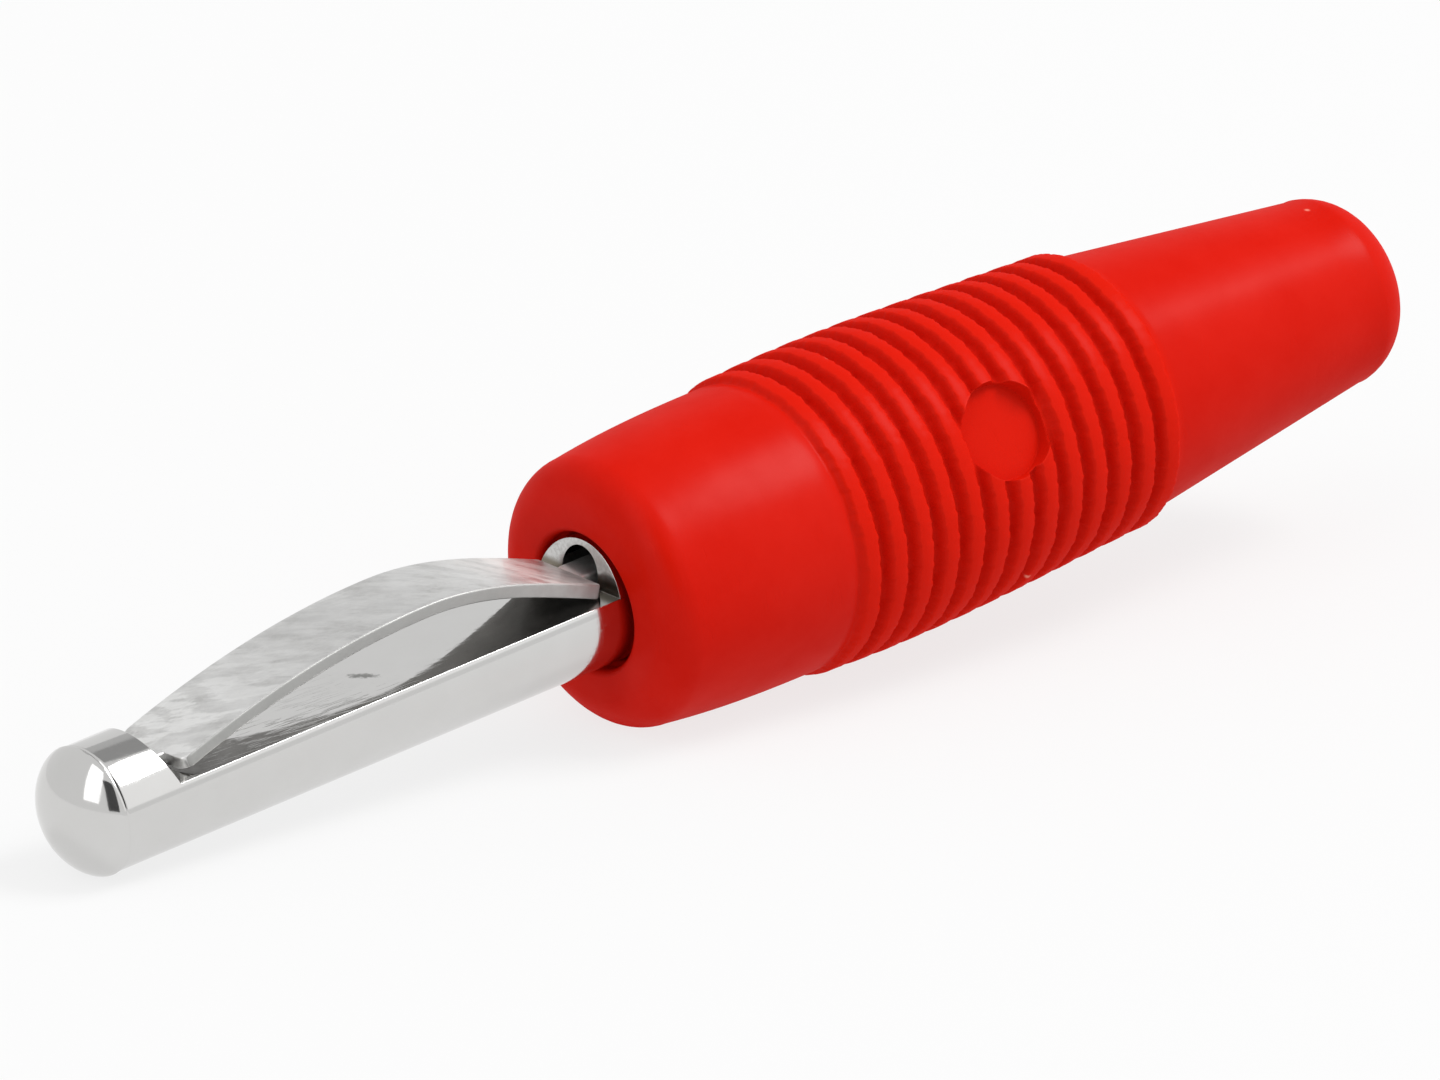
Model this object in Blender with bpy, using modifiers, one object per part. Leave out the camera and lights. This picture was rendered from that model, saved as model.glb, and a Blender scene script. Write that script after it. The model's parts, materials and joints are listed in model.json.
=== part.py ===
"""A 4 mm banana plug: a turned contact pin with a leaf spring, in a ribbed insulating sleeve.

Every piece is modelled along the plug's own axis, which is X here: x is 0 at the tip of the pin and
grows towards the cable end, z is up out of the pin's milled flat, and the leaf spring arches over that
flat. An empty then lays the whole plug down as it rests on a table, on the lip of its head and on the
front shoulder of its sleeve, with the world's origin under the middle of it.
"""

from math import atan, cos, pi, radians, sin, sqrt

import bmesh
import bpy
from mathutils import Matrix, Vector
from mathutils.geometry import interpolate_bezier

MM = 0.001

# Fineness of the round shapes
TURN_STEPS = 40
HOLE_STEPS = 24

# Contact pin: the head
PIN_DIAMETER = 4.0 * MM
DOME_HEIGHT = 1.22 * MM
DOME_FULLNESS = 1.5              # 1 is a parabola, 2 an ellipse
DOME_LIP = 0.03 * MM             # how far the dome's edge stands out past the pin
SEAM_WIDTH = 0.10 * MM           # the fine groove between dome and collar
SEAM_DEPTH = 0.05 * MM
COLLAR_LENGTH = 2.15 * MM        # dome's edge to the collar's back wall, at the level of the flat
COLLAR_WALL_LEAN = 0.37          # forward lean of that wall for each unit of height

# Contact pin: the flat that is milled for the spring, and the shank behind it
FLAT_LENGTH = 16.88 * MM
FLAT_HEIGHT = 0.68 * MM          # above the axis
SHANK_WALL_LEAN = 0.164          # backward lean of the shank's front wall
SHANK_LENGTH = 10.8 * MM
SHANK_CHAMFER = 0.25 * MM
TONGUE_BORE_DIAMETER = 1.64 * MM
TONGUE_BORE_LIFT = 0.32 * MM     # centre of the bore above the flat
COLLAR_BORE_DEPTH = 1.5 * MM
SHANK_BORE_DEPTH = 3.0 * MM
BORE_RUNOUT = 0.12 * MM          # how far the bores nick the flat at the foot of each wall
WIRE_BORE_DIAMETER = 2.2 * MM
WIRE_BORE_DEPTH = 6.6 * MM
WIRE_BORE_POINT = 0.6 * MM       # the drill's cone at the end of the wire bore

# Leaf spring
LEAF_WIDTH = 2.97 * MM
LEAF_THICKNESS = 0.42 * MM
LEAF_CREST_RISE = 1.74 * MM      # underside of the crest above the flat
LEAF_CREST_PLACE = 10.27 * MM    # collar's back wall to the crest
LEAF_FRONT_SLOPE = 0.28
LEAF_BACK_SLOPE = 0.44
LEAF_FRONT_GAP = 0.55 * MM       # collar's back wall to the front shoulders
LEAF_BACK_GAP = 0.62 * MM        # back shoulders to the shank's front wall
LEAF_SEAT_GAP = 0.05 * MM        # under the shoulders
LEAF_CORNER = 0.35 * MM
TONGUE_FRONT_REACH = 1.1 * MM    # into the collar
TONGUE_BACK_REACH = 1.4 * MM     # into the shank
TONGUE_FIT = 0.12 * MM           # between a tongue's edges and its bore

# Clamp screw, a headless slotted screw across the wire bore
SCREW_DIAMETER = 2.0 * MM
SCREW_LENGTH = 1.45 * MM
SCREW_CHAMFER = 0.15 * MM
SCREW_FIT = 0.05 * MM            # radial, in its hole
SCREW_SINK = 0.20 * MM           # below the top of the shank
SCREW_SETBACK = 3.3 * MM         # from the shank's back end
SCREW_SLOT_WIDTH = 0.36 * MM
SCREW_SLOT_DEPTH = 0.5 * MM

# Insulating sleeve: the smooth front
SLEEVE_SETBACK = 0.09 * MM       # sleeve's front face behind the foot of the shank's wall
MOUTH_GAP = 0.18 * MM            # radial, round the pin in the sleeve's mouth
MOUTH_CHAMFER = 0.15 * MM
MOUTH_DEPTH = 0.9 * MM
SLEEVE_FIT = 0.05 * MM           # radial, between the shank and the sleeve's bore
STOP_GAP = 0.3 * MM              # shank's back end to the stop in the sleeve
NOSE_DIAMETER = 8.56 * MM
NOSE_ROUNDING = 1.2 * MM
WAIST_DIAMETER = 9.12 * MM       # where the smooth front meets the ribs
WAIST_LENGTH = 6.8 * MM

# Insulating sleeve: the ribs
RIB_COUNT = 13
RIB_PITCH = 1.01 * MM
RIB_CREST = 0.40 * MM            # width of a rib's crest
RIB_DEPTH = 0.32 * MM
RIB_CROWN = 0.03 * MM            # rise in the middle of a crest
RIB_LEAD = 0.58 * MM             # waist to the middle of the first crest
RIB_FIRST_DIAMETER = 9.46 * MM
RIB_WIDEST_DIAMETER = 9.60 * MM
RIB_LAST_DIAMETER = 8.84 * MM
RIB_WIDEST = 2.5                 # place of the widest crest, counted from the first
RIB_FALL = 1.5                   # exponent of the fall from the widest to the last

# Insulating sleeve: the tail and the hollow
TAIL_LENGTH = 10.87 * MM
TAIL_FRONT_DIAMETER = 8.29 * MM
TAIL_BACK_DIAMETER = 5.96 * MM
TAIL_ROUNDING = 1.8 * MM
TAIL_LEAD = 0.5 * MM             # middle of the last crest to the tail
STOP_DIAMETER = 3.2 * MM         # the ring inside that the shank's back end meets
STOP_LENGTH = 1.0 * MM
STOP_TAPER = 0.8 * MM
HOLLOW_DIAMETER = 5.8 * MM
HOLLOW_TAPER = 4.6 * MM
CABLE_HOLE_DIAMETER = 2.3 * MM
CABLE_HOLE_LENGTH = 3.5 * MM

# Insulating sleeve: the round pad among the ribs
PAD_DIAMETER = 3.0 * MM
PAD_FLOOR = 4.375 * MM           # from the axis
PAD_BOSS_DIAMETER = 2.9 * MM     # the disc that carries the pad's floor over the grooves
PAD_BOSS_ROOT = 3.6 * MM         # from the axis, inside the wall
PAD_PLACE = 6.35 * MM            # waist to the pad's middle
PAD_ANGLE = radians(150.7)       # round the axis, from +y towards +z

# Places along the axis that several pieces share
LIP_X = DOME_HEIGHT
COLLAR_BACK_X = LIP_X + COLLAR_LENGTH
SHANK_FRONT_X = COLLAR_BACK_X + FLAT_LENGTH
SHANK_BACK_X = SHANK_FRONT_X + SHANK_LENGTH
SLEEVE_FRONT_X = SHANK_FRONT_X + SLEEVE_SETBACK
WAIST_X = SLEEVE_FRONT_X + WAIST_LENGTH
FIRST_CREST_X = WAIST_X + RIB_LEAD
LAST_CREST_X = FIRST_CREST_X + (RIB_COUNT - 1) * RIB_PITCH
TAIL_X = LAST_CREST_X + TAIL_LEAD
SLEEVE_BACK_X = TAIL_X + TAIL_LENGTH

PIN_RADIUS = PIN_DIAMETER / 2
BORE_HEIGHT = FLAT_HEIGHT + TONGUE_BORE_LIFT
SEAT_HEIGHT = FLAT_HEIGHT + LEAF_SEAT_GAP

# A cutter starts and ends this far outside what it cuts
OVERSHOOT = 1.0 * MM


def clear_scene():
    for old in list(bpy.data.objects):
        bpy.data.objects.remove(old)


def new_collection(name):
    collection = bpy.data.collections.new(name)
    bpy.context.scene.collection.children.link(collection)
    return collection


def new_material(name, colour, roughness, metallic):
    material = bpy.data.materials.new(name)
    material.use_nodes = True
    shader = material.node_tree.nodes["Principled BSDF"]
    shader.inputs["Base Color"].default_value = (*colour, 1.0)
    shader.inputs["Roughness"].default_value = roughness
    shader.inputs["Metallic"].default_value = metallic
    return material


def dome_profile(height, foot, steps):
    """A dome's outline from its foot to its tip, where (1 - x/height)**fullness + (r/foot)**2 = 1."""
    turns = [pi / 2 * (steps - i) / steps for i in range(steps + 1)]
    return [(height * (1 - cos(t) ** (2 / DOME_FULLNESS)), foot * sin(t)) for t in turns]


def arc(centre, radius, start, end, steps):
    """Points of an arc in the profile's plane, with angles from the +x direction towards +r."""
    turn = (end - start) / steps
    return [
        (centre[0] + radius * cos(start + i * turn), centre[1] + radius * sin(start + i * turn))
        for i in range(steps + 1)
    ]


def turned(name, profile, closed, collection):
    """A profile of (x, r) points turned round the x axis, with a flat facet at the very bottom."""
    mesh = bpy.data.meshes.new(name)
    points = [(x, 0.0, r) for x, r in profile]
    edges = [(i, i + 1) for i in range(len(points) - 1)]
    if closed:
        edges.append((len(points) - 1, 0))
    mesh.from_pydata(points, edges, [])
    body = bpy.data.objects.new(name, mesh)
    body.rotation_euler.x = pi / TURN_STEPS
    collection.objects.link(body)
    screw = body.modifiers.new("turn", "SCREW")
    screw.axis = "X"
    screw.angle = 2 * pi
    screw.steps = TURN_STEPS
    screw.render_steps = TURN_STEPS
    screw.use_merge_vertices = True
    screw.merge_threshold = 0.001 * MM
    screw.use_smooth_shade = True
    return body


def prism(name, outline, depth_axis, low, high, collection):
    """A flat outline, given in the other two axes in turn, extruded from low to high."""
    shape = bmesh.new()
    corners = []
    for first, second in outline:
        point = [first, second]
        point.insert(depth_axis, low)
        corners.append(shape.verts.new(point))
    face = shape.faces.new(corners)
    raised = bmesh.ops.extrude_face_region(shape, geom=[face])["geom"]
    moved = [item for item in raised if isinstance(item, bmesh.types.BMVert)]
    offset = Vector((0.0, 0.0, 0.0))
    offset[depth_axis] = high - low
    bmesh.ops.translate(shape, verts=moved, vec=offset)
    bmesh.ops.recalc_face_normals(shape, faces=shape.faces)
    return mesh_object(name, shape, collection)


def cylinder(name, radius, start, end, collection, steps=HOLE_STEPS):
    """A cylinder between two points."""
    start, end = Vector(start), Vector(end)
    along = end - start
    shape = bmesh.new()
    bmesh.ops.create_cone(
        shape,
        cap_ends=True,
        segments=steps,
        radius1=radius,
        radius2=radius,
        depth=along.length,
    )
    turn = along.to_track_quat("Z", "X").to_matrix().to_4x4()
    bmesh.ops.transform(
        shape, matrix=Matrix.Translation((start + end) / 2) @ turn, verts=shape.verts
    )
    return mesh_object(name, shape, collection)


def mesh_object(name, shape, collection):
    mesh = bpy.data.meshes.new(name)
    shape.to_mesh(mesh)
    shape.free()
    made = bpy.data.objects.new(name, mesh)
    collection.objects.link(made)
    return made


def combine(target, other, operation):
    """Adds a Boolean of the target with another solid, which then shows as a wire only."""
    boolean = target.modifiers.new(other.name, "BOOLEAN")
    boolean.operation = operation
    boolean.solver = "EXACT"
    boolean.object = other
    other.hide_render = True
    other.display_type = "WIRE"


def finish(body, material, rest):
    body.data.materials.append(material)
    body.parent = rest


def pin_profile():
    """The pin's turned outline, from the end of its wire bore round its back end to its tip."""
    bore = WIRE_BORE_DIAMETER / 2
    bore_end = SHANK_BACK_X - WIRE_BORE_DEPTH
    return [
        (bore_end - WIRE_BORE_POINT, 0.0),
        (bore_end, bore),
        (SHANK_BACK_X, bore),
        (SHANK_BACK_X, PIN_RADIUS - SHANK_CHAMFER),
        (SHANK_BACK_X - SHANK_CHAMFER, PIN_RADIUS),
        (LIP_X + SEAM_WIDTH, PIN_RADIUS),
        (LIP_X + SEAM_WIDTH / 2, PIN_RADIUS - SEAM_DEPTH),
        *dome_profile(DOME_HEIGHT, PIN_RADIUS + DOME_LIP, 9),
    ]


def contact_pin(parts, cutters):
    """The turned pin, milled flat for the spring and drilled for its tongues, the wire and the screw."""
    pin = turned("contact_pin", pin_profile(), False, parts)
    top = PIN_RADIUS + OVERSHOOT
    rise = top - FLAT_HEIGHT
    milled = [
        (COLLAR_BACK_X, FLAT_HEIGHT),
        (SHANK_FRONT_X, FLAT_HEIGHT),
        (SHANK_FRONT_X + rise * SHANK_WALL_LEAN, top),
        (COLLAR_BACK_X - rise * COLLAR_WALL_LEAN, top),
    ]
    combine(pin, prism("flat_cutter", milled, 1, -top, top, cutters), "DIFFERENCE")
    tongue_bores = {
        "collar": (COLLAR_BACK_X - COLLAR_BORE_DEPTH, COLLAR_BACK_X + BORE_RUNOUT),
        "shank": (SHANK_FRONT_X - BORE_RUNOUT, SHANK_FRONT_X + SHANK_BORE_DEPTH),
    }
    for place, (front_x, back_x) in tongue_bores.items():
        bore = cylinder(
            place + "_bore_cutter",
            TONGUE_BORE_DIAMETER / 2,
            (front_x, 0.0, BORE_HEIGHT),
            (back_x, 0.0, BORE_HEIGHT),
            cutters,
        )
        combine(pin, bore, "DIFFERENCE")
    screw_x = SHANK_BACK_X - SCREW_SETBACK
    screw_hole = cylinder(
        "screw_hole_cutter",
        SCREW_DIAMETER / 2 + SCREW_FIT,
        (screw_x, 0.0, 0.0),
        (screw_x, 0.0, PIN_RADIUS + OVERSHOOT),
        cutters,
    )
    combine(pin, screw_hole, "DIFFERENCE")
    return pin


def leaf_line():
    """The underside of the leaf, as (x, z) points: a front tongue, a long rise, a short fall, a tongue."""
    front_x = COLLAR_BACK_X + LEAF_FRONT_GAP
    crest_x = COLLAR_BACK_X + LEAF_CREST_PLACE
    back_x = SHANK_FRONT_X - LEAF_BACK_GAP
    crest = Vector((crest_x, FLAT_HEIGHT + LEAF_CREST_RISE))
    rise = (crest_x - front_x) / 3
    fall = (back_x - crest_x) / 3
    front = Vector((front_x, SEAT_HEIGHT))
    back = Vector((back_x, SEAT_HEIGHT))
    up = interpolate_bezier(
        front, front + rise * Vector((1, LEAF_FRONT_SLOPE)), crest - rise * Vector((1, 0)), crest, 13
    )
    down = interpolate_bezier(
        crest, crest + fall * Vector((1, 0)), back + fall * Vector((-1, LEAF_BACK_SLOPE)), back, 11
    )
    tongue_front = Vector((COLLAR_BACK_X - TONGUE_FRONT_REACH, SEAT_HEIGHT))
    tongue_back = Vector((SHANK_FRONT_X + TONGUE_BACK_REACH, SEAT_HEIGHT))
    return [tongue_front, *up, *down[1:], tongue_back]


def offset_line(line, distance):
    """The line moved sideways by a distance, to its left, with mitred corners."""
    moved = []
    for i, point in enumerate(line):
        before = (point - line[max(i - 1, 0)]).normalized()
        after = (line[min(i + 1, len(line) - 1)] - point).normalized()
        along = (before + after).normalized()
        across = Vector((-along.y, along.x))
        mitre = max(abs(along.dot(before)), abs(along.dot(after)))
        moved.append(point + across * distance / mitre)
    return moved


def tongue_half_width():
    """Half of the widest strip of the leaf's thickness that passes the round bore with its fit."""
    low = SEAT_HEIGHT - BORE_HEIGHT
    high = low + LEAF_THICKNESS
    furthest = max(abs(low), abs(high))
    return sqrt((TONGUE_BORE_DIAMETER / 2) ** 2 - furthest**2) - TONGUE_FIT


def leaf_plan():
    """The leaf seen from above, as (x, y) points: a band with round corners and a tongue at each end."""
    tongue = tongue_half_width()
    half = LEAF_WIDTH / 2
    front_x = COLLAR_BACK_X + LEAF_FRONT_GAP
    back_x = SHANK_FRONT_X - LEAF_BACK_GAP
    inner = half - LEAF_CORNER
    upper = [
        (SHANK_FRONT_X + TONGUE_BACK_REACH + OVERSHOOT, tongue),
        (back_x, tongue),
        *arc((back_x - LEAF_CORNER, inner), LEAF_CORNER, 0.0, pi / 2, 4),
        *arc((front_x + LEAF_CORNER, inner), LEAF_CORNER, pi / 2, pi, 4),
        (front_x, tongue),
        (COLLAR_BACK_X - TONGUE_FRONT_REACH - OVERSHOOT, tongue),
    ]
    return upper + [(x, -y) for x, y in reversed(upper)]


def leaf_spring(parts, cutters):
    """The leaf: its bent strip, as seen from the side, trimmed to its outline, as seen from above."""
    line = leaf_line()
    side = [*line, *reversed(offset_line(line, LEAF_THICKNESS))]
    half = LEAF_WIDTH / 2
    leaf = prism("leaf_spring", side, 1, -half - OVERSHOOT, half + OVERSHOOT, parts)
    plan = prism("leaf_plan_cutter", leaf_plan(), 2, -OVERSHOOT, LEAF_CREST_RISE * 3, cutters)
    combine(leaf, plan, "INTERSECT")
    return leaf


def clamp_screw(parts, cutters):
    """The headless screw, turned round its own axis, which stands on the plug's axis, with its slot."""
    top = PIN_RADIUS - SCREW_SINK
    radius = SCREW_DIAMETER / 2
    bottom = top - SCREW_LENGTH
    profile = [
        (top, 0.0),
        (top, radius - SCREW_CHAMFER),
        (top - SCREW_CHAMFER, radius),
        (bottom + SCREW_CHAMFER, radius),
        (bottom, radius - SCREW_CHAMFER),
        (bottom, 0.0),
    ]
    screw = turned("clamp_screw", profile, False, parts)
    screw_x = SHANK_BACK_X - SCREW_SETBACK
    screw.rotation_euler = (0.0, -pi / 2, 0.0)
    screw.location.x = screw_x
    slot_half = SCREW_SLOT_WIDTH / 2
    slot = prism(
        "slot_cutter",
        [
            (screw_x - slot_half, top - SCREW_SLOT_DEPTH),
            (screw_x + slot_half, top - SCREW_SLOT_DEPTH),
            (screw_x + slot_half, top + OVERSHOOT),
            (screw_x - slot_half, top + OVERSHOOT),
        ],
        1,
        -radius - OVERSHOOT,
        radius + OVERSHOOT,
        cutters,
    )
    combine(screw, slot, "DIFFERENCE")
    return screw


def crest_radius(index):
    """Radius of a rib's crest: a rise to the widest rib and a slower fall to the last one."""
    widest = RIB_WIDEST_DIAMETER / 2
    if index < RIB_WIDEST:
        away = (RIB_WIDEST - index) / RIB_WIDEST
        return widest - (widest - RIB_FIRST_DIAMETER / 2) * away**2
    away = (index - RIB_WIDEST) / (RIB_COUNT - 1 - RIB_WIDEST)
    return widest - (widest - RIB_LAST_DIAMETER / 2) * away**RIB_FALL


def rib_profile():
    """The ribs' outline from the last one to the first, as (x, r) points."""
    points = []
    half = RIB_CREST / 2
    for index in reversed(range(RIB_COUNT)):
        crest_x = FIRST_CREST_X + index * RIB_PITCH
        radius = crest_radius(index)
        points += [
            (crest_x + half, radius - RIB_CROWN),
            (crest_x, radius),
            (crest_x - half, radius - RIB_CROWN),
        ]
        groove_radius = radius - RIB_DEPTH if index else WAIST_DIAMETER / 2 - RIB_CROWN * 2
        points.append((crest_x - RIB_PITCH / 2, groove_radius))
    return points


def front_profile():
    """The smooth front's outline, from the waist to the rounded nose, as (x, r) points."""
    waist = WAIST_DIAMETER / 2
    nose = NOSE_DIAMETER / 2
    nose_x = SLEEVE_FRONT_X + NOSE_ROUNDING
    length = WAIST_X - nose_x
    swell = [
        (WAIST_X - length * step, waist - (waist - nose) * step**2)
        for step in (0.0, 0.25, 0.5, 0.7, 0.85)
    ]
    rounding = arc((nose_x, nose - NOSE_ROUNDING), NOSE_ROUNDING, pi / 2, pi, 6)
    return swell + rounding


def tail_profile():
    """The tail's outline, from the rounded end at the cable to the ribs, as (x, r) points."""
    front = TAIL_FRONT_DIAMETER / 2
    back = TAIL_BACK_DIAMETER / 2
    centre = (SLEEVE_BACK_X - TAIL_ROUNDING, back - TAIL_ROUNDING)
    lean = atan((front - back) / (SLEEVE_BACK_X - TAIL_ROUNDING - TAIL_X))
    rounding = arc(centre, TAIL_ROUNDING, 0.0, pi / 2 - lean, 7)
    return rounding + [(TAIL_X, front)]


def sleeve_outline():
    return tail_profile() + rib_profile() + front_profile()


def sleeve_bore():
    """The inside from the mouth to the cable's hole: mouth, grip on the shank, stop, hollow, hole."""
    mouth = PIN_RADIUS + MOUTH_GAP
    grip = PIN_RADIUS + SLEEVE_FIT
    stop = STOP_DIAMETER / 2
    hollow = HOLLOW_DIAMETER / 2
    hole = CABLE_HOLE_DIAMETER / 2
    stop_x = SHANK_BACK_X + STOP_GAP
    hole_x = SLEEVE_BACK_X - CABLE_HOLE_LENGTH
    return [
        (SLEEVE_FRONT_X, mouth + MOUTH_CHAMFER),
        (SLEEVE_FRONT_X + MOUTH_CHAMFER, mouth),
        (SLEEVE_FRONT_X + MOUTH_DEPTH, mouth),
        (SLEEVE_FRONT_X + MOUTH_DEPTH + MOUTH_GAP, grip),
        (stop_x, grip),
        (stop_x, stop),
        (stop_x + STOP_LENGTH, stop),
        (stop_x + STOP_LENGTH + STOP_TAPER, hollow),
        (hole_x - HOLLOW_TAPER, hollow),
        (hole_x, hole),
        (SLEEVE_BACK_X, hole),
    ]


def insulating_sleeve(parts, cutters):
    """The moulded sleeve, with a bare round pad among its ribs: a disc in the wall, cut off flat."""
    sleeve = turned("insulating_sleeve", sleeve_outline() + sleeve_bore(), True, parts)
    pad_x = WAIST_X + PAD_PLACE
    outward = Vector((0.0, cos(PAD_ANGLE), sin(PAD_ANGLE)))
    middle = Vector((pad_x, 0.0, 0.0))
    reach = RIB_WIDEST_DIAMETER / 2 + OVERSHOOT
    boss = cylinder(
        "pad_boss",
        PAD_BOSS_DIAMETER / 2,
        middle + outward * PAD_BOSS_ROOT,
        middle + outward * (PAD_FLOOR + RIB_DEPTH),
        cutters,
        TURN_STEPS,
    )
    combine(sleeve, boss, "UNION")
    pad = cylinder(
        "pad_cutter",
        PAD_DIAMETER / 2,
        middle + outward * PAD_FLOOR,
        middle + outward * reach,
        cutters,
        TURN_STEPS,
    )
    combine(sleeve, pad, "DIFFERENCE")
    return sleeve


def resting_place():
    """Tilt and shift that lay the plug on its head's lip and its sleeve's shoulder, centred."""
    facet = cos(pi / TURN_STEPS)
    lip = (PIN_RADIUS + DOME_LIP) * facet
    tilt = max(atan((r * facet - lip) / (x - LIP_X)) for x, r in sleeve_outline())
    outline = pin_profile() + sleeve_outline()
    ends = [x * cos(tilt) + side * r * sin(tilt) for x, r in outline for side in (-1, 1)]
    lowest = LIP_X * sin(tilt) - lip * cos(tilt)
    return tilt, Vector((-(min(ends) + max(ends)) / 2, 0.0, -lowest))


def main():
    clear_scene()
    parts = new_collection("banana_plug")
    cutters = new_collection("cutters")
    tilt, shift = resting_place()
    rest = bpy.data.objects.new("plug_rest", None)
    rest.location = shift
    rest.rotation_euler.y = -tilt
    parts.objects.link(rest)

    nickel = new_material("nickel_plate", (0.66, 0.65, 0.62), 0.28, 1.0)
    spring_steel = new_material("spring_steel", (0.58, 0.57, 0.55), 0.38, 1.0)
    zinc = new_material("zinc_plate", (0.60, 0.61, 0.62), 0.35, 1.0)
    red = new_material("red_plastic", (0.62, 0.012, 0.010), 0.32, 0.0)

    finish(contact_pin(parts, cutters), nickel, rest)
    finish(leaf_spring(parts, cutters), spring_steel, rest)
    finish(clamp_screw(parts, cutters), zinc, rest)
    finish(insulating_sleeve(parts, cutters), red, rest)
    for cutter in cutters.objects:
        cutter.parent = rest


main()
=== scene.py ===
import json

import bmesh
import bpy
import numpy as np
from mathutils import Matrix, Vector


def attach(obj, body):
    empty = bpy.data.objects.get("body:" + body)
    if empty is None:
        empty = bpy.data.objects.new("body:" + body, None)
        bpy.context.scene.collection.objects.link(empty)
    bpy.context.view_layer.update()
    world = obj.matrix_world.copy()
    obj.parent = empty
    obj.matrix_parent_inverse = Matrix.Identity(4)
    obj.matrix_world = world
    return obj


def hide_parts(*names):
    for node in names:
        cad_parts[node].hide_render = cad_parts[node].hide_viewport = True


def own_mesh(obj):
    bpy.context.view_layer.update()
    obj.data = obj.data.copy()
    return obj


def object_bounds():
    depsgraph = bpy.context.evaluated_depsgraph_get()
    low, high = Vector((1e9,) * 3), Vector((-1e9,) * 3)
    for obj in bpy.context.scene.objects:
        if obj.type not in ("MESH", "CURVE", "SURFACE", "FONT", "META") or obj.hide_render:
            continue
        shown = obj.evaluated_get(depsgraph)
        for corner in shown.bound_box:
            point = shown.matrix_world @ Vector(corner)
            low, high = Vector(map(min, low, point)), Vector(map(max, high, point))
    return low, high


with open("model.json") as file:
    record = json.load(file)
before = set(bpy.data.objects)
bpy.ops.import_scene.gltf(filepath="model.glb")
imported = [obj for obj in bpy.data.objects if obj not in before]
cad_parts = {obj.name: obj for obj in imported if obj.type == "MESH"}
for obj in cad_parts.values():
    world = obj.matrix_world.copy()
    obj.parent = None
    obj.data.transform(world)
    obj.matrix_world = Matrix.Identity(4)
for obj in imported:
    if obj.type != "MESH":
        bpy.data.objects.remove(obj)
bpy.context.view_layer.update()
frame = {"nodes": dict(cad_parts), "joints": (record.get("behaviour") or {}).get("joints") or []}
mm = 0.001
largestSmooth = 2.0 * mm**2  # larger faces are flat ones
mergeDistance = 0.0001 * mm

# The plug's own axes: along runs from the tip to the cable, up stands out of the milled flat
slideJoint = next(joint for joint in frame["joints"] if joint["name"] == "sleeve_slide")
along = np.array(slideJoint["axis"]) / np.linalg.norm(slideJoint["axis"])
side = np.array([0.0, 1.0, 0.0])
up = np.cross(along, side)
axes = np.array([along, side, up])
pinMesh = frame["nodes"]["contact_pin"].data
pinPoints = np.empty(len(pinMesh.vertices) * 3)
pinMesh.vertices.foreach_get("co", pinPoints)
pinPoints = pinPoints.reshape(-1, 3)
tip = pinPoints[np.argmin(pinPoints @ along)]
plugTilt = float(np.arcsin(along[2]))
print("frame loaded, tilt of the plug", round(np.degrees(plugTilt), 2), "degrees")


def toRow(points):
    # plug millimetres to the frame's metres: tip + x*along + y*side + z*up
    return tip + (np.asarray(points) * mm) @ axes


def spread(start, end, count, withEnd=True):
    # evenly spaced values, with or without the last one
    return np.linspace(start, end, count, endpoint=withEnd)


def lineTo(start, end, count):
    # points from one place to the next, without the last one
    t = spread(0, 1, count, withEnd=False)[:, None]
    return np.array(start) + t * (np.array(end) - np.array(start))


def arcPoints(centre, radius, startDegrees, endDegrees, count):
    # centre + radius * (cos a, sin a), for angles from start to end
    a = np.radians(spread(startDegrees, endDegrees, count))
    return np.array(centre) + radius * np.stack([np.cos(a), np.sin(a)], 1)


def bezier(corners, count):
    # cubic curve of four points: (1-t)^3 a + 3(1-t)^2 t b + 3(1-t) t^2 c + t^3 d
    t = spread(0, 1, count)[:, None]
    a, b, c, d = np.array(corners)
    return (1 - t) ** 3 * a + 3 * (1 - t) ** 2 * t * b + 3 * (1 - t) * t**2 * c + t**3 * d


def smoothStep(t):
    # 0 below 0, 1 above 1, and t*t*(3-2t) between
    t = np.clip(t, 0, 1)
    return t * t * (3 - 2 * t)


def gridFaces(rows, columns, closeRows):
    # one quad between each pair of neighbouring rows and columns, round to the first column again
    strips = np.arange(rows if closeRows else rows - 1)
    i, j = np.meshgrid(strips, np.arange(columns), indexing="ij")
    i, j = i.ravel(), j.ravel()
    nextI, nextJ = (i + 1) % rows, (j + 1) % columns
    corners = [i * columns + j, i * columns + nextJ, nextI * columns + nextJ, nextI * columns + j]
    return np.stack(corners, 1)


def surface(name, grid, closeRows=False):
    # a mesh object from a grid of points in plug millimetres, each row a closed ring. Coinciding points
    # are merged and the faces look outwards
    rows, columns = grid.shape[:2]
    points = toRow(grid.reshape(-1, 3)).astype(np.float32)
    faces = gridFaces(rows, columns, closeRows).astype(np.int32)
    mesh = bpy.data.meshes.new(name)
    mesh.vertices.add(len(points))
    mesh.vertices.foreach_set("co", points.ravel())
    mesh.loops.add(faces.size)
    mesh.loops.foreach_set("vertex_index", faces.ravel())
    mesh.polygons.add(len(faces))
    mesh.polygons.foreach_set("loop_start", np.arange(0, faces.size, 4, dtype=np.int32))
    mesh.update(calc_edges=True)
    shape = bmesh.new()
    shape.from_mesh(mesh)
    bmesh.ops.remove_doubles(shape, verts=shape.verts, dist=mergeDistance)
    bmesh.ops.recalc_face_normals(shape, faces=shape.faces)
    shape.to_mesh(mesh)
    shape.free()
    made = bpy.data.objects.new(name, mesh)
    bpy.context.scene.collection.objects.link(made)
    return made


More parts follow.
